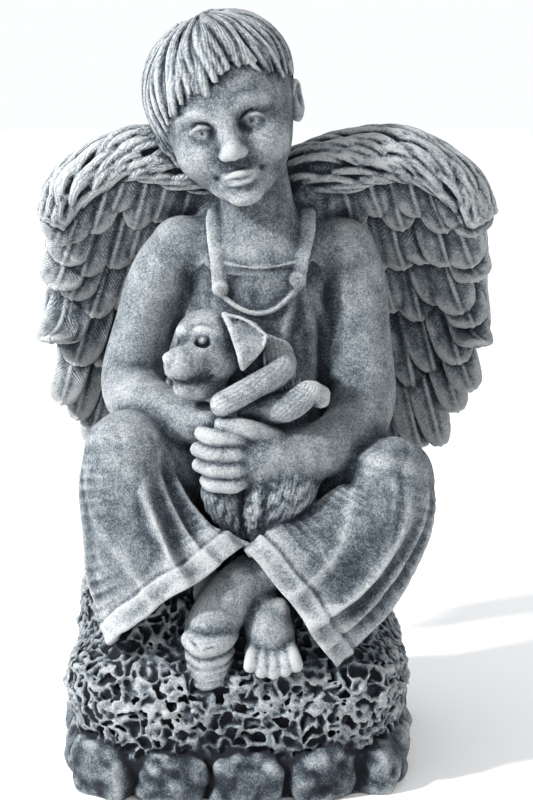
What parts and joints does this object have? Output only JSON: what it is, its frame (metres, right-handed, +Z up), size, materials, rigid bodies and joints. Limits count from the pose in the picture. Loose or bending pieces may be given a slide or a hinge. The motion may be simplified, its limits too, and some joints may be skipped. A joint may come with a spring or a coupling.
{
  "type": "garden statue",
  "caption": "Cast stone garden statue of a seated winged boy in bib overalls hugging a puppy on a pitted rock base.",
  "frame": {"origin": "middle of the outline seen from above, on the ground", "axes": "+Z up; -Y is the way the figure faces; +X is to the right of someone who looks at its front"},
  "size_m": [0.3894, 0.264, 0.5928],
  "materials": {
    "cast_stone": "rough cast concrete, blue-black antique wash in the recesses, dry-brushed pale grey on the raised parts"
  },
  "bodies": {
    "root": {"statue": "cast_stone"}
  },
  "joints": []
}
